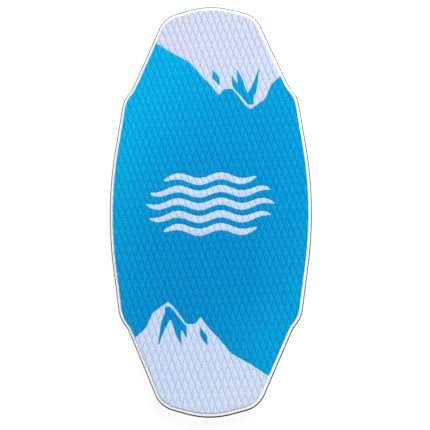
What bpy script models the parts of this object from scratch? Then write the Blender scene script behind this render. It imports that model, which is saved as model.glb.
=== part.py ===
"""A twin-tip skimboard: a veneer core between two white sheets, with a full-deck foam traction pad.

Frame: +Y to the nose, +X to the right seen from above, +Z up. The origin is the middle of the flat bottom.
Every layer is made flat, cut to shape, and then bent along the board's rocker.
"""

import math

import bmesh
import bpy
import numpy as np

# Driving dimensions, metres.
BOARD_LENGTH = 1.041
BOARD_WIDTH = 0.510
ROCKER_LIFT = 0.030
FLAT_HALF_LENGTH = 0.200
ROCKER_STATIONS = 12

# Outline corners of one quarter of the board: x, y and the radius of the round at the corner.
NOSE_END_RADIUS = 0.208
NOSE_CORNER = (0.1192, 0.4962, 0.068)
SHOULDER_KINK = (0.2035, 0.3080, 0.068)
HIP_CORNER = (0.2248, 0.2820, 0.078)
SIDE_RADIUS = 1.050

# Layers, from the bottom up.
GAP = 0.0003
SHEET_THICKNESS = 0.0005
PLY_THICKNESS = 0.00145
PLY_COUNT = 5
FILM_THICKNESS = 0.0003
PAD_THICKNESS = 0.0028
CORE_THICKNESS = 2 * SHEET_THICKNESS + PLY_COUNT * PLY_THICKNESS + (PLY_COUNT + 1) * GAP
RAIL_RADIUS = 0.0048
RAIL_SEGMENTS = 4

# The pad lies back from the rail, and its film a little further.
PAD_INSET = 0.0086
FILM_INSET = 0.0103
PAD_EDGE_RADIUS = 0.0010
PAD_EDGE_SEGMENTS = 2

# The artwork's centre lies a little towards the nose. Its shapes are given from there: x, y and the round
# at each corner. The first and last corners of the ridge lie outside the pad, and SNOW_BACK closes the shape
# beyond the nose. The tail has the same shapes turned half a turn about the centre.
ARTWORK_CENTRE_Y = 0.004
SNOW_RIDGE = [
    (-0.170, 0.446, 0.0),
    (-0.100, 0.400, 0.020),
    (-0.052, 0.373, 0.012),
    (-0.020, 0.3345, 0.020),
    (0.001, 0.313, 0.020),
    (0.023, 0.2835, 0.003),
    (0.037, 0.301, 0.006),
    (0.058, 0.301, 0.010),
    (0.090, 0.2575, 0.015),
    (0.104, 0.2455, 0.004),
    (0.141, 0.2725, 0.008),
    (0.158, 0.311, 0.020),
    (0.205, 0.354, 0.0),
]
SNOW_BACK = [(0.205, 0.560, 0.0), (-0.170, 0.560, 0.0)]
CREVASSE = [
    (0.098, 0.258, 0.005),
    (0.1115, 0.257, 0.005),
    (0.112, 0.275, 0.015),
    (0.120, 0.295, 0.030),
    (0.128, 0.358, 0.001),
    (0.112, 0.316, 0.025),
    (0.0965, 0.286, 0.003),
    (0.0835, 0.327, 0.030),
    (0.068, 0.3555, 0.001),
    (0.0725, 0.309, 0.002),
    (0.056, 0.338, 0.001),
    (0.058, 0.307, 0.015),
]
SLIVER = [
    (0.0055, 0.3545, 0.001),
    (0.006, 0.330, 0.015),
    (0.025, 0.309, 0.001),
    (0.0235, 0.332, 0.015),
]

# Emblem: water stripes that fill an oval.
STRIPE_COUNT = 5
STRIPE_PITCH = 0.0325
STRIPE_THICKNESS = 0.018
STRIPE_STEPS = 32
WAVE_LENGTH = 0.108
WAVE_HEIGHT = 0.007
EMBLEM_HALF_WIDTH = 0.162
EMBLEM_HALF_HEIGHT = 0.094

ARC_TOLERANCE = 0.0001
APEX_STEPS = 12
MERGE_DISTANCE = 0.00001
FLAT_ANGLE = math.radians(0.2)
RIM_ANGLE = math.radians(60)
CUTTER_MARGIN = 0.010

WHITE_GLOSS = (0.90, 0.91, 0.92)
DARK_VENEER = (0.105, 0.062, 0.036)
CROSS_VENEER = (0.17, 0.105, 0.062)
FILM_GREY = (0.55, 0.57, 0.58)
BLUE_FOAM = (0.003, 0.34, 0.68)
WHITE_FOAM = (0.68, 0.74, 0.92)


def clear_scene():
    for obj in list(bpy.data.objects):
        bpy.data.objects.remove(obj)


def make_collection(name, hidden=False):
    collection = bpy.data.collections.new(name)
    collection.hide_render = hidden
    bpy.context.scene.collection.children.link(collection)
    return collection


def make_material(name, color, roughness):
    material = bpy.data.materials.new(name)
    material.use_nodes = True
    shader = material.node_tree.nodes["Principled BSDF"]
    shader.inputs["Base Color"].default_value = (*color, 1.0)
    shader.inputs["Roughness"].default_value = roughness
    shader.inputs["Metallic"].default_value = 0.0
    return material


# Outlines


def offset_line(start, end, distance):
    """A point and direction of the line through start and end, moved to its left by distance."""
    direction = (end - start) / np.linalg.norm(end - start)
    left = np.array([-direction[1], direction[0]])
    return start + left * distance, direction


def offset_corners(corners, inset):
    """The corners of the outline that runs inside an anticlockwise outline at a constant distance."""
    points = np.array([corner[:2] for corner in corners])
    moved = []
    for i, point in enumerate(points):
        base_a, along_a = offset_line(points[i - 1], point, inset)
        base_b, along_b = offset_line(point, points[(i + 1) % len(points)], inset)
        turn = along_a[0] * along_b[1] - along_a[1] * along_b[0]
        reach = np.linalg.solve(np.column_stack([along_a, -along_b]), base_b - base_a)[0]
        radius = corners[i][2] - inset * math.copysign(1.0, turn)
        moved.append((*(base_a + along_a * reach), max(radius, 0.0)))
    return moved


def rounded_outline(corners, inset=0.0):
    """Points round a closed outline whose corners are rounded, each by its own radius."""
    corners = offset_corners(corners, inset)
    points = np.array([corner[:2] for corner in corners])
    outline = []
    for i, point in enumerate(points):
        radius = corners[i][2]
        back = points[i - 1] - point
        ahead = points[(i + 1) % len(points)] - point
        back /= np.linalg.norm(back)
        ahead /= np.linalg.norm(ahead)
        half_angle = math.acos(float(np.clip(back @ ahead, -1.0, 1.0))) / 2
        if radius <= MERGE_DISTANCE:
            outline.append(tuple(point))
            continue
        tangent = radius / math.tan(half_angle)
        bisector = (back + ahead) / np.linalg.norm(back + ahead)
        centre = point + bisector * radius / math.sin(half_angle)
        first = point + back * tangent - centre
        last = point + ahead * tangent - centre
        start = math.atan2(first[1], first[0])
        sweep = math.atan2(last[1], last[0]) - start
        sweep = (sweep + math.pi) % (2 * math.pi) - math.pi
        step = 2 * math.acos(max(1 - ARC_TOLERANCE / radius, 0.0))
        steps = max(2, math.ceil(abs(sweep) / step))
        for k in range(steps + 1):
            angle = start + sweep * k / steps
            outline.append(tuple(centre + radius * np.array([math.cos(angle), math.sin(angle)])))
    return outline


def apex_reach(half_size, radius, corner_reach, corner_offset):
    """How far out the corner of a broad round lies, for the round itself to reach just half_size."""
    apex = half_size
    for _ in range(APEX_STEPS):
        slope = math.atan2(apex - corner_reach, corner_offset)
        apex = half_size + radius * (1 / math.cos(slope) - 1)
    return apex


def board_corners():
    """The twelve corners of the board and the four broad rounds at its ends and sides, anticlockwise."""
    nose_end = apex_reach(BOARD_LENGTH / 2, NOSE_END_RADIUS, NOSE_CORNER[1], NOSE_CORNER[0])
    side_end = apex_reach(BOARD_WIDTH / 2, SIDE_RADIUS, HIP_CORNER[0], HIP_CORNER[1])
    rising = [HIP_CORNER, SHOULDER_KINK, NOSE_CORNER]
    falling = [(-x, y, radius) for x, y, radius in reversed(rising)]
    upper = [(side_end, 0.0, SIDE_RADIUS), *rising, (0.0, nose_end, NOSE_END_RADIUS), *falling]
    return upper + half_turn(upper)


def half_turn(corners):
    return [(-x, -y, radius) for x, y, radius in corners]


def from_centre(corners):
    """Corners that are given from the artwork's centre, as places on the board."""
    return [(x, y + ARTWORK_CENTRE_Y, radius) for x, y, radius in corners]


def stripe_outline(height, grow=0.0):
    """A wavy stripe, thinner to its ends, at a height in the emblem's oval and as long as the oval there."""
    half_length = EMBLEM_HALF_WIDTH * math.sqrt(1 - (height / EMBLEM_HALF_HEIGHT) ** 2) + grow
    upper = []
    lower = []
    for k in range(STRIPE_STEPS + 1):
        share = -math.cos(math.pi * k / STRIPE_STEPS)
        x = half_length * share
        middle = ARTWORK_CENTRE_Y + height + WAVE_HEIGHT * math.sin(2 * math.pi * x / WAVE_LENGTH)
        half_thickness = STRIPE_THICKNESS / 2 * math.sqrt(1 - share**4) + grow
        if 0 < k < STRIPE_STEPS:
            upper.append((x, middle + half_thickness))
            lower.append((x, middle - half_thickness))
        else:
            lower.append((x, middle))
    return lower + upper[::-1]


# Solids


def write_mesh(bm, mesh):
    bmesh.ops.recalc_face_normals(bm, faces=bm.faces)
    bm.to_mesh(mesh)
    bm.free()


def flat_plate(name, outline, thickness, collection):
    """A flat plate extruded upwards from z = 0, from a filled curve."""
    curve = bpy.data.curves.new(name, "CURVE")
    curve.dimensions = "2D"
    curve.fill_mode = "BOTH"
    curve.extrude = thickness / 2
    spline = curve.splines.new("POLY")
    spline.points.add(len(outline) - 1)
    for point, (x, y) in zip(spline.points, outline):
        point.co = (x, y, 0.0, 1.0)
    spline.use_cyclic_u = True
    guide = bpy.data.objects.new(name, curve)
    collection.objects.link(guide)
    mesh = bpy.data.meshes.new_from_object(guide.evaluated_get(bpy.context.evaluated_depsgraph_get()))
    bpy.data.objects.remove(guide)
    bpy.data.curves.remove(curve)

    bm = bmesh.new()
    bm.from_mesh(mesh)
    bmesh.ops.remove_doubles(bm, verts=bm.verts, dist=MERGE_DISTANCE)
    bmesh.ops.translate(bm, verts=bm.verts, vec=(0.0, 0.0, thickness / 2))
    bmesh.ops.dissolve_limit(bm, angle_limit=FLAT_ANGLE, verts=bm.verts, edges=bm.edges)
    write_mesh(bm, mesh)
    plate = bpy.data.objects.new(name, mesh)
    collection.objects.link(plate)
    return plate


def apply_modifiers(obj):
    """Replaces the object's mesh by the one that its modifiers make."""
    mesh = bpy.data.meshes.new_from_object(obj.evaluated_get(bpy.context.evaluated_depsgraph_get()))
    obj.modifiers.clear()
    obj.data = mesh


def round_rims(obj, radius, segments, top_only=False):
    """Rounds the edges between a plate's sides and its flat faces."""
    bm = bmesh.new()
    bm.from_mesh(obj.data)
    bm.normal_update()
    rims = [edge for edge in bm.edges if edge.calc_face_angle(0.0) > RIM_ANGLE]
    if top_only:
        highest = max(vert.co.z for vert in bm.verts)
        rims = [edge for edge in rims if min(v.co.z for v in edge.verts) > highest - MERGE_DISTANCE]
    bmesh.ops.bevel(bm, geom=rims, offset=radius, segments=segments, profile=0.5, affect="EDGES")
    write_mesh(bm, obj.data)


def cut_at(bm, height, keep_above):
    """Cuts a solid at a height, drops the half that isn't kept, and closes the cut."""
    cut = bmesh.ops.bisect_plane(
        bm,
        geom=[*bm.verts, *bm.edges, *bm.faces],
        dist=MERGE_DISTANCE,
        plane_co=(0.0, 0.0, height),
        plane_no=(0.0, 0.0, 1.0),
        clear_outer=not keep_above,
        clear_inner=keep_above,
    )
    rim = [item for item in cut["geom_cut"] if isinstance(item, bmesh.types.BMEdge)]
    bmesh.ops.contextual_create(bm, geom=rim)


def bend_to_rocker(bm, height):
    """Splits every face at the rocker's stations, and bends a piece that starts at a height in the board."""
    run = BOARD_LENGTH / 2 - FLAT_HALF_LENGTH
    radius = (run**2 + ROCKER_LIFT**2) / (2 * ROCKER_LIFT)
    stations = np.linspace(FLAT_HALF_LENGTH, BOARD_LENGTH / 2, ROCKER_STATIONS + 1)
    sines = (stations - FLAT_HALF_LENGTH) / radius
    cosines = np.sqrt(1 - sines**2)
    bmesh.ops.triangulate(bm, faces=bm.faces)
    for station in [*-stations[:-1], *stations[:-1]]:
        bmesh.ops.bisect_plane(
            bm,
            geom=[*bm.verts, *bm.edges, *bm.faces],
            dist=MERGE_DISTANCE,
            plane_co=(0.0, station, 0.0),
            plane_no=(0.0, 1.0, 0.0),
        )
    for vert in bm.verts:
        sine = np.interp(abs(vert.co.y), stations, sines)
        cosine = np.interp(abs(vert.co.y), stations, cosines)
        level = height + vert.co.z
        vert.co.y -= math.copysign(level * sine, vert.co.y)
        vert.co.z = radius - (radius - level) * cosine - height
    bmesh.ops.dissolve_limit(bm, angle_limit=FLAT_ANGLE, verts=bm.verts, edges=bm.edges)
    bmesh.ops.triangulate(bm, faces=bm.faces)


def finish_part(obj, name, height, material, root):
    """Bends a flat piece, names and colours it, and places it at its height in the board."""
    bm = bmesh.new()
    bm.from_mesh(obj.data)
    bend_to_rocker(bm, height)
    write_mesh(bm, obj.data)
    obj.name = name
    obj.data.name = name
    obj.data.materials.clear()
    obj.data.materials.append(material)
    obj.data.shade_smooth()
    obj.data.set_sharp_from_angle(angle=math.radians(30))
    obj.location.z = height
    obj.parent = root


def make_core_layer(name, blank, low, thickness, material, parts, root):
    """One sheet or ply: the slice of the rounded board blank between two heights."""
    bm = bmesh.new()
    bm.from_mesh(blank.data)
    if low > 0.0:
        cut_at(bm, low, keep_above=True)
    if low + thickness < CORE_THICKNESS - GAP / 2:
        cut_at(bm, low + thickness, keep_above=False)
    bmesh.ops.translate(bm, verts=bm.verts, vec=(0.0, 0.0, -low))
    mesh = bpy.data.meshes.new(name)
    write_mesh(bm, mesh)
    layer = bpy.data.objects.new(name, mesh)
    parts.objects.link(layer)
    finish_part(layer, name, low, material, root)


def make_core(parts, tools, root):
    """The bottom sheet, the veneers and the deck sheet, all cut from one blank with a rounded rail."""
    blank = flat_plate("core_blank", rounded_outline(board_corners()), CORE_THICKNESS, tools)
    round_rims(blank, RAIL_RADIUS, RAIL_SEGMENTS)
    blank.display_type = "WIRE"
    blank.hide_render = True

    gloss = make_material("white_gloss", WHITE_GLOSS, 0.18)
    make_core_layer("base_sheet", blank, 0.0, SHEET_THICKNESS, gloss, parts, root)
    veneers = [
        make_material("long_grain_veneer", DARK_VENEER, 0.45),
        make_material("cross_grain_veneer", CROSS_VENEER, 0.5),
    ]
    low = SHEET_THICKNESS + GAP
    for i in range(PLY_COUNT):
        make_core_layer(f"core_ply_{i + 1}", blank, low, PLY_THICKNESS, veneers[i % 2], parts, root)
        low += PLY_THICKNESS + GAP
    make_core_layer("deck_sheet", blank, low, SHEET_THICKNESS, gloss, parts, root)


def make_film(parts, root):
    """The adhesive film between the deck sheet and the pad."""
    outline = rounded_outline(board_corners(), FILM_INSET)
    film = flat_plate("pad_adhesive", outline, FILM_THICKNESS, parts)
    material = make_material("adhesive_film", FILM_GREY, 0.4)
    finish_part(film, "pad_adhesive", CORE_THICKNESS + GAP, material, root)


def prism_cutter(name, outline, tools):
    """A wire cutter with the given outline that stands above and below the pad."""
    cutter = flat_plate(name, outline, PAD_THICKNESS + 2 * CUTTER_MARGIN, tools)
    cutter.location.z = -CUTTER_MARGIN
    cutter.display_type = "WIRE"
    cutter.hide_render = True
    return cutter


def cut_pad_piece(name, outline, operation, cutters, parts):
    """A piece of foam with its top edge rounded, cut by each cutter in turn."""
    piece = flat_plate(name, outline, PAD_THICKNESS, parts)
    round_rims(piece, PAD_EDGE_RADIUS, PAD_EDGE_SEGMENTS, top_only=True)
    for first, cutter in enumerate(cutters):
        boolean = piece.modifiers.new(f"cut_{first + 1}", "BOOLEAN")
        boolean.operation = operation if first == 0 else "DIFFERENCE"
        boolean.solver = "EXACT"
        boolean.object = cutter
    apply_modifiers(piece)
    return piece


def make_pad(parts, tools, root):
    """The foam pad: the blue field, the two snow panels, their blue inlays and the emblem's stripes."""
    blue = make_material("blue_foam", BLUE_FOAM, 0.75)
    white = make_material("white_foam", WHITE_FOAM, 0.75)
    pad_height = CORE_THICKNESS + FILM_THICKNESS + 2 * GAP
    pad_outline = rounded_outline(board_corners(), PAD_INSET)

    field_cutters = []
    for end, turned in (("nose", list), ("tail", half_turn)):
        snow = from_centre(turned(SNOW_RIDGE + SNOW_BACK))
        region = prism_cutter(f"{end}_snow_region", rounded_outline(snow), tools)
        clearance = prism_cutter(f"{end}_snow_clearance", rounded_outline(snow, -GAP), tools)
        field_cutters.append(clearance)
        panel_cutters = [region]
        for mark, corners in (("crevasse", CREVASSE), ("sliver", SLIVER)):
            name = f"{end}_{mark}"
            shape = from_centre(turned(corners))
            inlay = flat_plate(name, rounded_outline(shape), PAD_THICKNESS, parts)
            finish_part(inlay, name, pad_height, blue, root)
            panel_cutters.append(prism_cutter(f"{name}_clearance", rounded_outline(shape, -GAP), tools))
        panel = cut_pad_piece(f"{end}_snow_panel", pad_outline, "INTERSECT", panel_cutters, parts)
        finish_part(panel, f"{end}_snow_panel", pad_height, white, root)

    for i in range(STRIPE_COUNT):
        height = (i - (STRIPE_COUNT - 1) / 2) * STRIPE_PITCH
        name = f"emblem_wave_{i + 1}"
        stripe = flat_plate(name, stripe_outline(height), PAD_THICKNESS, parts)
        finish_part(stripe, name, pad_height, white, root)
        field_cutters.append(prism_cutter(f"{name}_clearance", stripe_outline(height, GAP), tools))

    field = cut_pad_piece("pad_field", pad_outline, "DIFFERENCE", field_cutters, parts)
    finish_part(field, "pad_field", pad_height, blue, root)


def main():
    clear_scene()
    parts = make_collection("skimboard")
    tools = make_collection("cutters", hidden=True)
    root = bpy.data.objects.new("skimboard", None)
    parts.objects.link(root)
    make_core(parts, tools, root)
    make_film(parts, root)
    make_pad(parts, tools, root)


main()
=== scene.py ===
"""The looks of a twin-tip skimboard: a dark veneer core between white gloss sheets, and a grooved foam deck.

Every layer is drawn flat, in metres, and bent along the board's rocker. The foam is cut into triangles along
its moulded grooves and its colour seams, so that both are real shapes.
"""

import math

import bpy
import numpy as np
from mathutils import Euler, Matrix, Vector
from mathutils.geometry import delaunay_2d_cdt


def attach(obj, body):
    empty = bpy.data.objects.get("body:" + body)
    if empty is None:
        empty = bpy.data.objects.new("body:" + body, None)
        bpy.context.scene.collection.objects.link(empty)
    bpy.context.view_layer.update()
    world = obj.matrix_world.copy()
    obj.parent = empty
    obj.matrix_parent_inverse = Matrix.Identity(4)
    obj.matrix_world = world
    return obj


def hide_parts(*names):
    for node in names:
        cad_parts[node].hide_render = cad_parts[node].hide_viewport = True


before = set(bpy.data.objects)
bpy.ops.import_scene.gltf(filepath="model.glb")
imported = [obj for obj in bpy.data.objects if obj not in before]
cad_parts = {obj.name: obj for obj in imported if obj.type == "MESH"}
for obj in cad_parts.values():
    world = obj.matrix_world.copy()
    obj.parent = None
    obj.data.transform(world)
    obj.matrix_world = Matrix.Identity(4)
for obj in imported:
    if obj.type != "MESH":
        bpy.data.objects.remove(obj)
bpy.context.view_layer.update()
BODY = "root"

# The board's outline and rocker, as in the CAD, metres.
BOARD_LENGTH = 1.041
BOARD_WIDTH = 0.510
ROCKER_LIFT = 0.030
FLAT_HALF_LENGTH = 0.200
NOSE_END_RADIUS = 0.208
NOSE_CORNER = (0.1192, 0.4962, 0.068)
SHOULDER_KINK = (0.2035, 0.3080, 0.068)
HIP_CORNER = (0.2248, 0.2820, 0.078)
SIDE_RADIUS = 1.050
RAIL_RADIUS = 0.0048
RAIL_LEVELS = 6

# Layer thicknesses from the bottom up, and the clearance between neighbours in the CAD, metres.
GAP = 0.0003
SHEET_THICKNESS = 0.0005
PLY_THICKNESS = 0.00145
PLY_COUNT = 5
FILM_THICKNESS = 0.0003
PAD_THICKNESS = 0.0028
CORE_THICKNESS = 2 * SHEET_THICKNESS + PLY_COUNT * PLY_THICKNESS + (PLY_COUNT + 1) * GAP
FOAM_BOTTOM = CORE_THICKNESS + FILM_THICKNESS + 2 * GAP
FOAM_TOP = FOAM_BOTTOM + PAD_THICKNESS

# The artwork, as in the CAD: x, y and the round at each corner, from the artwork's centre.
ARTWORK_CENTRE_Y = 0.004
SNOW_RIDGE = [
    (-0.170, 0.446, 0.0),
    (-0.100, 0.400, 0.020),
    (-0.052, 0.373, 0.012),
    (-0.020, 0.3345, 0.020),
    (0.001, 0.313, 0.020),
    (0.023, 0.2835, 0.003),
    (0.037, 0.301, 0.006),
    (0.058, 0.301, 0.010),
    (0.090, 0.2575, 0.015),
    (0.104, 0.2455, 0.004),
    (0.141, 0.2725, 0.008),
    (0.158, 0.311, 0.020),
    (0.205, 0.354, 0.0),
]
SNOW_BACK = [(0.205, 0.560, 0.0), (-0.170, 0.560, 0.0)]
CREVASSE = [
    (0.098, 0.258, 0.005),
    (0.1115, 0.257, 0.005),
    (0.112, 0.275, 0.015),
    (0.120, 0.295, 0.030),
    (0.128, 0.358, 0.001),
    (0.112, 0.316, 0.025),
    (0.0965, 0.286, 0.003),
    (0.0835, 0.327, 0.030),
    (0.068, 0.3555, 0.001),
    (0.0725, 0.309, 0.002),
    (0.056, 0.338, 0.001),
    (0.058, 0.307, 0.015),
]
SLIVER = [
    (0.0055, 0.3545, 0.001),
    (0.006, 0.330, 0.015),
    (0.025, 0.309, 0.001),
    (0.0235, 0.332, 0.015),
]
STRIPE_COUNT = 5
STRIPE_PITCH = 0.0325
STRIPE_THICKNESS = 0.018
STRIPE_STEPS = 64
WAVE_LENGTH = 0.108
WAVE_HEIGHT = 0.007
EMBLEM_HALF_WIDTH = 0.162
EMBLEM_HALF_HEIGHT = 0.094

# The foam: diamond grooves, a rounded rim and a slight crease along each seam.
PAD_INSET = 0.0086
PAD_RIM_RADIUS = 0.0018
PAD_RIM_STEPS = (0.0001, 0.0004, 0.0009, 0.0018)
GROOVE_PITCH = 0.01508
GROOVE_HALF_ANGLE = math.radians(19.36)
GROOVE_TURN = math.radians(1.6)
GROOVE_PHASES = (0.165, 0.77)
GROOVE_HALF_WIDTHS = (0.0004, 0.0016, 0.0025)
GROOVE_DEPTHS = (0.0019, 0.0003, 0.0)
SEAM_GAP = 0.0001
SEAM_WIDTH = 0.0004
SEAM_DEPTH = 0.00015
UNDERSIDE_GRID = 0.020
LIP_WIDTH = 0.0012
LIP_CLEARANCE = 0.00005

ARC_TOLERANCE = 0.00002
LONGEST_EDGE = 0.012
APEX_STEPS = 12
TINY = 0.000001
SMOOTH_ANGLE = math.radians(52)
GROOVE_DEPTH_ATTRIBUTE = "groove_depth"

# Colours. Foam: the darker and lighter tones of a painted light gradient, then one shaded tone for mottles
# and for painted shade in the grooves. Veneer: light and dark streaks. Film and floor: the ends of a mottle.
BLUE_FOAM = ((0.0015, 0.285, 0.63), (0.0015, 0.445, 0.79), (0.0, 0.13, 0.33))
WHITE_FOAM = ((0.60, 0.73, 0.93), (0.67, 0.72, 0.88), (0.12, 0.13, 0.21))
LONG_GRAIN = ((0.045, 0.026, 0.015), (0.012, 0.007, 0.004))
CROSS_GRAIN = ((0.06, 0.036, 0.021), (0.018, 0.011, 0.007))
CLEAN_GLOSS = (0.93, 0.935, 0.94)
DULL_GLOSS = (0.88, 0.885, 0.89)
SCUFFED_GLOSS = (0.74, 0.74, 0.73)
FILM_HAZE = ((0.5, 0.52, 0.53), (0.66, 0.67, 0.67))
FLOOR_GREYS = ((0.14, 0.14, 0.14), (0.16, 0.16, 0.16))

# Painted light on the foam: the spot where its colour is darkest, and how far from there it turns lighter,
# along two turned axes.
PAINTED_SHADE_SPOT = (-0.006, -0.136, 0.0)
PAINTED_LIGHT_TURN = (0.0, 0.0, math.radians(-21.3))
PAINTED_LIGHT_REACH = (0.347, 0.690, 1.0)

# The studio.
FLOOR_SIZE = 12.0
FLOOR_CLEARANCE = 0.0003
FLOOR_GLOW = 0.88
WORLD_STRENGTH = 0.42
KEY_POWER = 188.0
KEY_AZIMUTH = 60
KEY_ELEVATION = 48
KEY_DISTANCE = 4.5
KEY_SIZE = 2.2
CAMERA_DISTANCE = 2.305
CAMERA_TILT = (10.75, 3.5)
CAMERA_LENS = 76.32
CAMERA_SHIFT = (0.01087, -0.01991)


# Outlines


def offset_line(start, end, distance):
    """A point and direction of the line through start and end, moved to its left by distance."""
    direction = (end - start) / np.linalg.norm(end - start)
    left = np.array([-direction[1], direction[0]])
    return start + left * distance, direction


def offset_corners(corners, inset):
    """The corners of the outline that runs inside an anticlockwise outline at a constant distance."""
    points = np.array([corner[:2] for corner in corners])
    moved = []
    for i, point in enumerate(points):
        base_a, along_a = offset_line(points[i - 1], point, inset)
        base_b, along_b = offset_line(point, points[(i + 1) % len(points)], inset)
        turn = along_a[0] * along_b[1] - along_a[1] * along_b[0]
        reach = np.linalg.solve(np.column_stack([along_a, -along_b]), base_b - base_a)[0]
        radius = corners[i][2] - inset * math.copysign(1.0, turn)
        moved.append((*(base_a + along_a * reach), max(radius, 0.0)))
    return moved


def rounded_outline(corners, inset=0.0):
    """Points round a closed outline whose corners are rounded, each by its own radius."""
    corners = offset_corners(corners, inset)
    points = np.array([corner[:2] for corner in corners])
    outline = []
    for i, point in enumerate(points):
        radius = corners[i][2]
        back = points[i - 1] - point
        ahead = points[(i + 1) % len(points)] - point
        back /= np.linalg.norm(back)
        ahead /= np.linalg.norm(ahead)
        half_angle = math.acos(float(np.clip(back @ ahead, -1.0, 1.0))) / 2
        if radius <= TINY:
            outline.append(point)
            continue
        bisector = (back + ahead) / np.linalg.norm(back + ahead)
        centre = point + bisector * radius / math.sin(half_angle)
        first = point + back * radius / math.tan(half_angle) - centre
        last = point + ahead * radius / math.tan(half_angle) - centre
        start = math.atan2(first[1], first[0])
        sweep = math.atan2(last[1], last[0]) - start
        sweep = (sweep + math.pi) % (2 * math.pi) - math.pi
        step = 2 * math.acos(max(1 - ARC_TOLERANCE / radius, 0.0))
        steps = 2 * math.ceil(abs(sweep) / step / 2)
        for k in range(steps + 1):
            angle = start + sweep * k / steps
            outline.append(centre + radius * np.array([math.cos(angle), math.sin(angle)]))
    return np.array(outline)


def apex_reach(half_size, radius, corner_reach, corner_offset):
    """How far out the corner of a broad round lies, for the round itself to reach just half_size."""
    apex = half_size
    for _ in range(APEX_STEPS):
        slope = math.atan2(apex - corner_reach, corner_offset)
        apex = half_size + radius * (1 / math.cos(slope) - 1)
    return apex


def half_turn(corners):
    """The same corners, turned by half a turn about the origin."""
    return [(-x, -y, radius) for x, y, radius in corners]


def from_centre(corners):
    """Corners that are given from the artwork's centre, as places on the board."""
    return [(x, y + ARTWORK_CENTRE_Y, radius) for x, y, radius in corners]


def board_corners():
    """The twelve corners of the board and the four broad rounds at its ends and sides, anticlockwise."""
    nose_end = apex_reach(BOARD_LENGTH / 2, NOSE_END_RADIUS, NOSE_CORNER[1], NOSE_CORNER[0])
    side_end = apex_reach(BOARD_WIDTH / 2, SIDE_RADIUS, HIP_CORNER[0], HIP_CORNER[1])
    rising = [HIP_CORNER, SHOULDER_KINK, NOSE_CORNER]
    falling = [(-x, y, radius) for x, y, radius in reversed(rising)]
    upper = [(side_end, 0.0, SIDE_RADIUS), *rising, (0.0, nose_end, NOSE_END_RADIUS), *falling]
    return upper + half_turn(upper)


def stripe_outline(height, grow=0.0):
    """A wavy stripe, thinner to its ends, at a height in the emblem's oval and as long as the oval there."""
    half_length = EMBLEM_HALF_WIDTH * math.sqrt(1 - (height / EMBLEM_HALF_HEIGHT) ** 2) + grow
    share = -np.cos(np.linspace(0, math.pi, STRIPE_STEPS + 1))
    x = half_length * share
    middle = ARTWORK_CENTRE_Y + height + WAVE_HEIGHT * np.sin(2 * math.pi * x / WAVE_LENGTH)
    half_thickness = STRIPE_THICKNESS / 2 * np.sqrt(1 - share**4) + grow
    upper = np.column_stack([x, middle + half_thickness])[1:-1]
    lower = np.column_stack([x, middle - half_thickness])[1:-1]
    ends = np.column_stack([x, middle])[[0, -1]]
    return np.vstack([ends[:1], lower, ends[1:], upper[::-1]])


def split_long_edges(outline):
    """The same closed outline, with a point at least every LONGEST_EDGE."""
    finer = []
    for start, end in zip(outline, np.roll(outline, -1, axis=0)):
        pieces = max(1, math.ceil(np.linalg.norm(end - start) / LONGEST_EDGE))
        finer += [start + (end - start) * k / pieces for k in range(pieces)]
    return np.array(finer)


def bent(points, levels):
    """Flat points and their levels in the flat board, as places in the board with its ends bent up."""
    run = BOARD_LENGTH / 2 - FLAT_HALF_LENGTH
    radius = (run**2 + ROCKER_LIFT**2) / (2 * ROCKER_LIFT)
    x, y = np.asarray(points).T
    sine = np.clip(np.abs(y) - FLAT_HALF_LENGTH, 0, None) / radius
    reach = y - np.sign(y) * levels * sine
    return np.column_stack([x, reach, radius - (radius - levels) * np.sqrt(1 - sine**2)])


def make_piece(name, vertices, faces, material, node):
    """A mesh piece that rides on the board and stands for its CAD node."""
    mesh = bpy.data.meshes.new(name)
    mesh.from_pydata(np.asarray(vertices).tolist(), [], faces)
    mesh.validate()
    mesh.materials.append(material)
    mesh.shade_smooth()
    mesh.set_sharp_from_angle(angle=SMOOTH_ANGLE)
    piece = bpy.data.objects.new(name, mesh)
    bpy.context.scene.collection.objects.link(piece)
    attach(piece, BODY)
    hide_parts(node)
    return piece


# The core: sheets and veneers with one rounded rail


def right_edge():
    """The right half of the board's outline from the tail's middle to the nose's, and its outward normals."""
    outline = split_long_edges(rounded_outline(board_corners()))
    tangents = np.roll(outline, -1, axis=0) - np.roll(outline, 1, axis=0)
    tangents /= np.linalg.norm(tangents, axis=1)[:, None]
    normals = np.column_stack([tangents[:, 1], -tangents[:, 0]])
    on_right = outline[:, 0] > -TINY
    order = np.argsort(outline[on_right][:, 1])
    return outline[on_right][order], normals[on_right][order]


def rail_inset(height):
    """How far the rounded rail lies inside the outline at a height."""
    from_face = min(height, CORE_THICKNESS - height)
    if from_face >= RAIL_RADIUS:
        return 0.0
    return RAIL_RADIUS - math.sqrt(RAIL_RADIUS**2 - (RAIL_RADIUS - from_face) ** 2)


def make_layer(name, node, low, high, material):
    """One sheet or veneer: a stack of rings up the rail, closed below and above by rows across the board."""
    edge, normals = right_edge()
    last = len(edge) - 1
    around = 2 * last
    vertices = []
    for height in np.linspace(low, high, RAIL_LEVELS):
        right = edge - normals * rail_inset(height)
        left = right[1:-1][::-1] * [-1, 1]
        vertices.append(bent(np.vstack([right, left]), np.full(around, height)))
    faces = []
    for level in range(RAIL_LEVELS - 1):
        for i in range(around):
            a = level * around + i
            b = level * around + (i + 1) % around
            faces.append((a, b, b + around, a + around))
    top = (RAIL_LEVELS - 1) * around
    for i in range(last):
        row = dict.fromkeys([(around - i) % around, i, i + 1, around - i - 1])
        faces.append([top + corner for corner in row])
        faces.append(list(row)[::-1])
    make_piece(name, np.vstack(vertices), faces, material, node)


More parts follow.
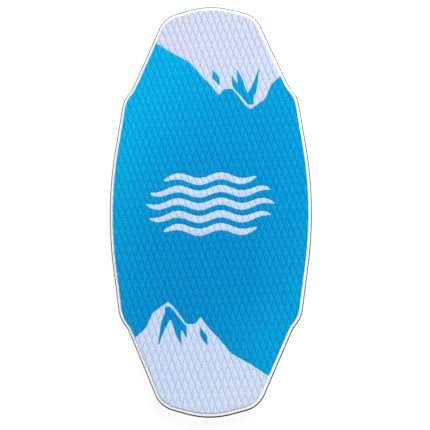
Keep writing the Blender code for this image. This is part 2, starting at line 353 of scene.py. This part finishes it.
def make_core(gloss, veneers):
    """The two gloss sheets and the five veneers between them, with their glue lines closed."""
    low = 0.0
    layers = [("base_sheet", "laminate", SHEET_THICKNESS, gloss)]
    for i in range(PLY_COUNT):
        layers.append((f"core_ply_{i + 1}", "veneer", PLY_THICKNESS, veneers[i % len(veneers)]))
    layers.append(("deck_sheet", "laminate", SHEET_THICKNESS, gloss))
    for node, kind, thickness, material in layers:
        bottom = max(low - GAP / 2, 0.0)
        top = min(low + thickness + GAP / 2, CORE_THICKNESS)
        make_layer(f"{node}_{kind}", node, bottom, top, material)
        low += thickness + GAP


# The foam: a flat drawing that is cut into triangles, then given heights


class Drawing:
    """Points, lines, loops and labelled regions in the plane, cut into triangles together."""

    def __init__(self):
        self.points = []
        self.edges = []
        self.regions = []
        self.labels = []

    def add_points(self, points):
        first = len(self.points)
        self.points += [Vector(point) for point in points]
        return list(range(first, len(self.points)))

    def add_line(self, start, end):
        self.edges.append(tuple(self.add_points([start, end])))

    def add_loop(self, outline):
        numbers = self.add_points(outline)
        self.edges += zip(numbers, numbers[1:] + numbers[:1])

    def add_region(self, label, outline):
        self.regions.append(self.add_points(outline))
        self.labels.append(label)

    def triangles(self):
        """The final points, the triangles, the region labels of each, and where each input point went."""
        cut = delaunay_2d_cdt(self.points, self.edges, self.regions, 0, TINY, True)
        points = np.array([tuple(point) for point in cut[0]])
        labels = [{self.labels[region] for region in regions} for regions in cut[5]]
        places = {old: new for new, olds in enumerate(cut[3]) for old in olds}
        return points, cut[2], labels, places


def distance_to_loop(points, outline, limit):
    """The distance from each point to a closed outline, or the limit if that is less."""
    nearest = np.full(len(points), limit**2)
    close = np.all((points > outline.min(axis=0) - limit) & (points < outline.max(axis=0) + limit), axis=1)
    for start, end in zip(outline, np.roll(outline, -1, axis=0)):
        along = end - start
        share = np.clip((points[close] - start) @ along / (along @ along), 0, 1)
        away = points[close] - start - share[:, None] * along
        nearest[close] = np.minimum(nearest[close], np.sum(away**2, axis=1))
    return np.sqrt(nearest)


def groove_families():
    """The normal of each family of parallel grooves, and where in the pitch its lines lie."""
    for side, phase in zip((1, -1), GROOVE_PHASES):
        angle = side * GROOVE_HALF_ANGLE + GROOVE_TURN
        yield np.array([math.cos(angle), math.sin(angle)]), phase


def draw_grooves(drawing):
    """The floor, wall and shoulder lines of every groove, from edge to edge of the board's box."""
    half_box = np.array([BOARD_WIDTH, BOARD_LENGTH]) / 2
    for normal, phase in groove_families():
        along = np.array([-normal[1], normal[0]])
        count = math.ceil(np.abs(normal) @ half_box / GROOVE_PITCH)
        for k in range(-count, count + 1):
            for offset in (*GROOVE_HALF_WIDTHS, *(-width for width in GROOVE_HALF_WIDTHS)):
                base = normal * ((k + phase) * GROOVE_PITCH + offset)
                ends = np.sort(np.outer((-1, 1), half_box / along) - base / along, axis=0)
                start = ends[0].max()
                end = ends[1].min()
                if end > start:
                    drawing.add_line(base + along * start, base + along * end)


def groove_drop(points):
    """How far the grooves lower the foam at each point."""
    drop = np.zeros(len(points))
    for normal, phase in groove_families():
        place = points @ normal / GROOVE_PITCH - phase
        distance = np.abs(place - np.round(place)) * GROOVE_PITCH
        drop = np.maximum(drop, np.interp(distance, GROOVE_HALF_WIDTHS, GROOVE_DEPTHS))
    return drop


def artwork():
    """For each CAD node let into the pad, a function that gives its outline grown by a distance."""

    def rounded(corners):
        return lambda grow: rounded_outline(from_centre(corners), -grow)

    def stripe(height):
        return lambda grow: stripe_outline(height, grow)

    shapes = {}
    for end, turned in (("nose", list), ("tail", half_turn)):
        shapes[f"{end}_snow_panel"] = rounded(turned(SNOW_RIDGE + SNOW_BACK))
        shapes[f"{end}_crevasse"] = rounded(turned(CREVASSE))
        shapes[f"{end}_sliver"] = rounded(turned(SLIVER))
    for i in range(STRIPE_COUNT):
        shapes[f"emblem_wave_{i + 1}"] = stripe((i - (STRIPE_COUNT - 1) / 2) * STRIPE_PITCH)
    return shapes


def draw_pad(shapes):
    """The whole pad as one drawing, with the lines where its height changes."""
    drawing = Drawing()
    corners = board_corners()
    drawing.add_region("pad_field", rounded_outline(corners, PAD_INSET))
    for step in PAD_RIM_STEPS:
        drawing.add_loop(rounded_outline(corners, PAD_INSET + step))
    for node, outline in shapes.items():
        drawing.add_region(node, outline(0.0))
        drawing.add_region(f"{node} with its seam", outline(SEAM_GAP))
        drawing.add_loop(outline(-SEAM_WIDTH))
        drawing.add_loop(outline(SEAM_GAP + SEAM_WIDTH))
    draw_grooves(drawing)
    return drawing


def owner(labels, shapes):
    """The CAD node that a triangle of the pad belongs to, or None in a seam and outside the pad."""
    if "pad_field" not in labels:
        return None
    inside = [node for node in shapes if f"{node} with its seam" in labels]
    if not inside:
        return "pad_field"
    # An inlay in a snow panel comes after that panel, so the last shape is the innermost.
    return inside[-1] if inside[-1] in labels else None


def foam_top(points, shapes):
    """The height of the foam's surface at each point of the pad."""
    rim = distance_to_loop(points, rounded_outline(board_corners(), PAD_INSET), PAD_RIM_RADIUS)
    drop = PAD_RIM_RADIUS - np.sqrt(PAD_RIM_RADIUS**2 - (PAD_RIM_RADIUS - rim) ** 2)
    seam = np.full(len(points), SEAM_WIDTH)
    for outline in shapes.values():
        for grow in (0.0, SEAM_GAP):
            seam = np.minimum(seam, distance_to_loop(points, outline(grow), SEAM_WIDTH))
    drop += np.interp(seam, (0.0, SEAM_WIDTH), (SEAM_DEPTH, 0.0))
    return FOAM_TOP - drop - groove_drop(points)


def foam_bottom(points):
    """The height of the foam's underside: on the film, but down to the deck along the pad's outer edge."""
    rim = distance_to_loop(points, rounded_outline(board_corners(), PAD_INSET), LIP_WIDTH)
    return np.interp(rim, (0.0, LIP_WIDTH), (CORE_THICKNESS + LIP_CLEARANCE, FOAM_BOTTOM))


def boundary_loops(triangles):
    """The closed loops of edges that only one of the triangles uses, each in that triangle's direction."""
    edges = {(t[i], t[(i + 1) % 3]) for t in triangles for i in range(3)}
    following = {}
    for a, b in sorted(edges):
        if (b, a) not in edges:
            following.setdefault(a, []).append(b)
    loops = []
    while following:
        loop = [min(following)]
        while True:
            ahead = following[loop[-1]]
            here = ahead.pop()
            if not ahead:
                del following[loop[-1]]
            if here == loop[0]:
                break
            loop.append(here)
        loops.append(loop)
    return loops


def draw_underside(flat, loops):
    """The areas inside a piece's loops, with a coarse grid of points and a ring along the pad's lip."""
    drawing = Drawing()
    for number, loop in enumerate(loops):
        drawing.add_region(number, flat[loop])
    steps = np.arange(-BOARD_LENGTH / 2, BOARD_LENGTH / 2, UNDERSIDE_GRID)
    grid = np.array(np.meshgrid(steps, steps)).reshape(2, -1).T
    ring = split_long_edges(rounded_outline(board_corners(), PAD_INSET + LIP_WIDTH))
    for extra, clearance in ((grid, UNDERSIDE_GRID / 4), (ring, LIP_WIDTH / 2)):
        away = np.full(len(extra), np.inf)
        for loop in loops:
            away = np.minimum(away, distance_to_loop(extra, flat[loop], UNDERSIDE_GRID))
        drawing.add_points(extra[away > clearance])
    return drawing


def make_foam(node, points, triangles, shapes, material):
    """One piece of foam: its grooved top, straight sides and a plain underside."""
    used, corners = np.unique(np.array(triangles), return_inverse=True)
    top = [tuple(int(corner) for corner in triangle) for triangle in corners.reshape(-1, 3)]
    flat = points[used]
    count = len(flat)
    loops = boundary_loops(top)
    below, below_triangles, labels, places = draw_underside(flat, loops).triangles()
    covered = [t for t, label in zip(below_triangles, labels) if len(label) == len(loops)]
    kept = np.unique(covered)
    below = below[kept]
    renumbered = {int(old): count + new for new, old in enumerate(kept)}
    faces = top + [tuple(renumbered[corner] for corner in reversed(t)) for t in covered]
    number = 0
    for loop in loops:
        low = [renumbered[places[number + i]] for i in range(len(loop))]
        number += len(loop)
        faces += zip(loop[1:] + loop[:1], loop, low, low[1:] + low[:1])
    heights = np.concatenate([foam_top(flat, shapes), foam_bottom(below)])
    vertices = bent(np.vstack([flat, below]), heights)
    piece = make_piece(f"{node}_foam", vertices, faces, material, node)
    depth = np.concatenate([groove_drop(flat) / GROOVE_DEPTHS[0], np.zeros(len(below))])
    groove_depth = piece.data.attributes.new(GROOVE_DEPTH_ATTRIBUTE, "FLOAT", "POINT")
    groove_depth.data.foreach_set("value", depth.astype(np.float32))


def make_pad(blue, white):
    """The pad's field and every shape let into it."""
    shapes = artwork()
    points, triangles, labels, _ = draw_pad(shapes).triangles()
    parts = {}
    for triangle, label in zip(triangles, labels):
        parts.setdefault(owner(label, shapes), []).append(triangle)
    for node in ("pad_field", *shapes):
        is_white = "snow" in node or "wave" in node
        make_foam(node, points, parts[node], shapes, white if is_white else blue)


# Materials


class Surface:
    """A Principled material whose textures are placed in metres on the object."""

    def __init__(self, slot, values):
        self.material = bpy.data.materials.new(f"{slot}_finish")
        self.material["slot"] = slot
        self.material.use_nodes = True
        self.nodes = self.material.node_tree.nodes
        self.links = self.material.node_tree.links
        self.shader = self.nodes["Principled BSDF"]
        self.place = self.nodes.new("ShaderNodeTexCoord").outputs["Object"]
        for name, value in values.items():
            self.shader.inputs[name].default_value = value

    def add(self, kind, inputs=(), **settings):
        """A node with its settings, and its inputs by name or number, each a socket or a plain value."""
        node = self.nodes.new(kind)
        for name, value in settings.items():
            setattr(node, name, value)
        for name, value in dict(inputs).items():
            if isinstance(value, bpy.types.NodeSocket):
                self.links.new(value, node.inputs[name])
            else:
                node.inputs[name].default_value = value
        return node

    def noise(self, size, detail=2.0, stretch=(1.0, 1.0, 1.0), roughness=0.5):
        """Noise from 0 to 1 whose blotches are about size metres across, and longer where it is stretched."""
        scale = tuple(1 / (size * factor) for factor in stretch)
        place = self.add("ShaderNodeMapping", {"Vector": self.place, "Scale": scale})
        inputs = {"Vector": place.outputs[0], "Scale": 1.0, "Detail": detail, "Roughness": roughness}
        return self.add("ShaderNodeTexNoise", inputs).outputs[0]

    def cells(self, size):
        """The distance to the nearest of a cloud of points about size metres apart."""
        place = self.add("ShaderNodeMapping", {"Vector": self.place, "Scale": (1 / size,) * 3})
        inputs = {"Vector": place.outputs[0], "Scale": 1.0}
        return self.add("ShaderNodeTexVoronoi", inputs).outputs["Distance"]

    def attribute(self, name):
        return self.add("ShaderNodeAttribute", attribute_name=name).outputs["Fac"]

    def spread(self, value, low, high, start=0.0, end=1.0):
        """The value carried from its range start to end over to the range low to high."""
        inputs = {"Value": value, "From Min": start, "From Max": end, "To Min": low, "To Max": high}
        return self.add("ShaderNodeMapRange", inputs).outputs[0]

    def maths(self, operation, first, second):
        return self.add("ShaderNodeMath", {0: first, 1: second}, operation=operation).outputs[0]

    def mix(self, share, first, second, blend="MIX"):
        first, second = ((*c, 1.0) if isinstance(c, tuple) else c for c in (first, second))
        inputs = {0: share, 6: first, 7: second}
        return self.add("ShaderNodeMix", inputs, data_type="RGBA", blend_type=blend).outputs[2]

    def bump(self, height, depth, under=None):
        """Relief of the given depth in metres, over another relief if there is one."""
        inputs = {"Height": height, "Strength": 1.0, "Distance": depth}
        if under:
            inputs["Normal"] = under
        return self.add("ShaderNodeBump", inputs).outputs[0]

    def finish(self, color, roughness, normal):
        self.links.new(color, self.shader.inputs["Base Color"])
        self.links.new(roughness, self.shader.inputs["Roughness"])
        self.links.new(normal, self.shader.inputs["Normal"])
        return self.material


def foam_material(slot, painted_shade_tone, painted_light_tone, mottle_and_groove_shade):
    """Closed-cell foam: fine cells on the skin, soft mottling, and a smoother skin in the grooves, drawn
    darker there partly as the denser skin's own colour and partly as painted shade.

    The colour carries painted light: darkest at one spot of the deck and lighter outwards from there.
    """
    foam = Surface(slot, {"Specular IOR Level": 0.05})
    grain = foam.cells(0.0007)
    mottle = foam.noise(0.004, detail=3.0)
    drift = foam.noise(0.12, detail=2.0)
    groove_depth = foam.attribute(GROOVE_DEPTH_ATTRIBUTE)
    # Painted light: the colour runs from a darker tone at one spot of the deck to a lighter tone further out.
    spot = {"Vector": foam.place, "Location": PAINTED_SHADE_SPOT, "Rotation": PAINTED_LIGHT_TURN, "Scale": PAINTED_LIGHT_REACH}
    away = foam.add("ShaderNodeMapping", spot, vector_type="TEXTURE").outputs[0]
    reach = foam.add("ShaderNodeVectorMath", {0: away}, operation="LENGTH").outputs["Value"]
    painted_light = foam.maths("ADD", foam.maths("MULTIPLY", reach, reach), foam.spread(drift, -0.1, 0.1))
    color = foam.mix(foam.spread(painted_light, 0.0, 1.0), painted_shade_tone, painted_light_tone)
    color = foam.mix(foam.spread(mottle, 0.0, 1.0, 0.3, 0.7), foam.mix(0.08, color, mottle_and_groove_shade), color)
    # Painted shade in the grooves, deeper with the groove, partly the denser moulded skin's own darker
    # colour.
    color = foam.mix(foam.spread(groove_depth, 0.0, 0.16), color, mottle_and_groove_shade)
    roughness = foam.maths("SUBTRACT", foam.spread(grain, 0.82, 0.95), foam.spread(groove_depth, 0.0, 0.12))
    relief = foam.bump(foam.noise(0.0025, detail=3.0), 0.0001)
    return foam.finish(color, roughness, foam.bump(grain, 0.00012, relief))


def veneer_material(slot, light, dark, grain_axis):
    """Dark stained veneer with a matte seal: streaks and pores that run along one axis."""
    wood = Surface(slot, {"Specular IOR Level": 0.1})
    lengthwise = tuple(40.0 if axis == grain_axis else 1.0 for axis in range(3))
    streaks = wood.noise(0.0012, detail=4.0, stretch=lengthwise, roughness=0.6)
    pores = wood.noise(0.0003, detail=2.0, stretch=lengthwise)
    stain = wood.noise(0.05, detail=2.0)
    color = wood.mix(wood.spread(streaks, 0.0, 1.0, 0.3, 0.7), light, dark)
    color = wood.mix(wood.spread(stain, 0.0, 0.35, 0.4, 0.7), color, dark)
    roughness = wood.spread(streaks, 0.55, 0.75)
    return wood.finish(color, roughness, wood.bump(pores, 0.00005))


def gloss_material(slot):
    """White gloss laminate: faint orange peel, and hairline scuffs along the board that lie in patches."""
    gloss = Surface(slot, {"Coat Weight": 0.6, "Coat Roughness": 0.06})
    peel = gloss.noise(0.006, detail=2.0)
    scuffs = gloss.noise(0.0008, detail=3.0, stretch=(1.0, 60.0, 1.0), roughness=0.65)
    patches = gloss.noise(0.07, detail=3.0)
    deep = gloss.spread(scuffs, 0.0, 1.0, 0.52, 0.75)
    worn = gloss.maths("MULTIPLY", deep, gloss.spread(patches, 0.3, 1.0))
    color = gloss.mix(gloss.spread(patches, 0.0, 0.3), CLEAN_GLOSS, DULL_GLOSS)
    color = gloss.mix(gloss.spread(worn, 0.0, 0.35), color, SCUFFED_GLOSS)
    roughness = gloss.spread(worn, 0.18, 0.5)
    relief = gloss.bump(peel, 0.00004)
    return gloss.finish(color, roughness, gloss.bump(scuffs, 0.00001, relief))


def film_material(slot):
    """Milky adhesive film with small trapped bubbles."""
    film = Surface(slot, {"Specular IOR Level": 0.4, "Transmission Weight": 0.3})
    bubbles = film.cells(0.004)
    haze = film.noise(0.02, detail=3.0)
    color = film.mix(haze, *FILM_HAZE)
    roughness = film.spread(haze, 0.35, 0.55)
    return film.finish(color, roughness, film.bump(bubbles, 0.00005))


def coat_node(node, material):
    """Gives a CAD node that stays in view its material."""
    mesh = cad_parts[node].data
    mesh.materials.clear()
    mesh.materials.append(material)


# The studio


def make_floor():
    """A plain pale floor just under the board, lit from within like a light table."""
    bpy.ops.mesh.primitive_plane_add(size=FLOOR_SIZE, location=(0.0, 0.0, -FLOOR_CLEARANCE))
    floor = bpy.context.object
    floor.name = "floor"
    glow = {"Emission Color": (1.0, 1.0, 1.0, 1.0), "Emission Strength": FLOOR_GLOW}
    surface = Surface("floor", {"Specular IOR Level": 0.1, **glow})
    speckle = surface.noise(0.02, detail=3.0)
    color = surface.mix(speckle, *FLOOR_GREYS)
    surface.finish(color, surface.spread(speckle, 0.85, 0.95), surface.bump(speckle, 0.00002))
    floor.data.materials.append(surface.material)


def make_key_light():
    """A square soft light that faces the board. Its azimuth is measured from +X towards +Y."""
    data = bpy.data.lights.new("key", "AREA")
    data.size = KEY_SIZE
    data.energy = KEY_POWER
    light = bpy.data.objects.new("key", data)
    bpy.context.scene.collection.objects.link(light)
    azimuth = math.radians(KEY_AZIMUTH)
    elevation = math.radians(KEY_ELEVATION)
    level = math.cos(elevation)
    away = Vector((math.cos(azimuth) * level, math.sin(azimuth) * level, math.sin(elevation)))
    light.location = away * KEY_DISTANCE
    light.rotation_euler = away.to_track_quat("Z", "Y").to_euler()


def make_studio():
    """White surroundings and one key light from the nose's right."""
    world = bpy.data.worlds.new("studio")
    world.use_nodes = True
    background = world.node_tree.nodes["Background"]
    background.inputs["Color"].default_value = (1.0, 1.0, 1.0, 1.0)
    background.inputs["Strength"].default_value = WORLD_STRENGTH
    bpy.context.scene.world = world
    make_key_light()
    bpy.context.scene.view_settings.view_transform = "Standard"


def make_camera():
    """A long lens above the board, tilted a little towards the tail and the right."""
    data = bpy.data.cameras.new("camera")
    data.lens = CAMERA_LENS
    data.shift_x, data.shift_y = CAMERA_SHIFT
    camera = bpy.data.objects.new("camera", data)
    bpy.context.scene.collection.objects.link(camera)
    tilt = Euler((math.radians(CAMERA_TILT[0]), math.radians(CAMERA_TILT[1]), 0.0))
    camera.rotation_euler = tilt
    camera.location = tilt.to_matrix() @ Vector((0.0, 0.0, CAMERA_DISTANCE))
    bpy.context.scene.camera = camera


def main():
    """The camera and the studio, then the board and its pad."""
    make_camera()
    make_studio()
    make_floor()
    gloss = gloss_material("white_gloss")
    long_grain = veneer_material("long_grain_veneer", *LONG_GRAIN, grain_axis=1)
    cross_grain = veneer_material("cross_grain_veneer", *CROSS_GRAIN, grain_axis=0)
    blue = foam_material("blue_foam", *BLUE_FOAM)
    white = foam_material("white_foam", *WHITE_FOAM)
    make_core(gloss, (long_grain, cross_grain))
    make_pad(blue, white)
    coat_node("pad_adhesive", film_material("adhesive_film"))


main()
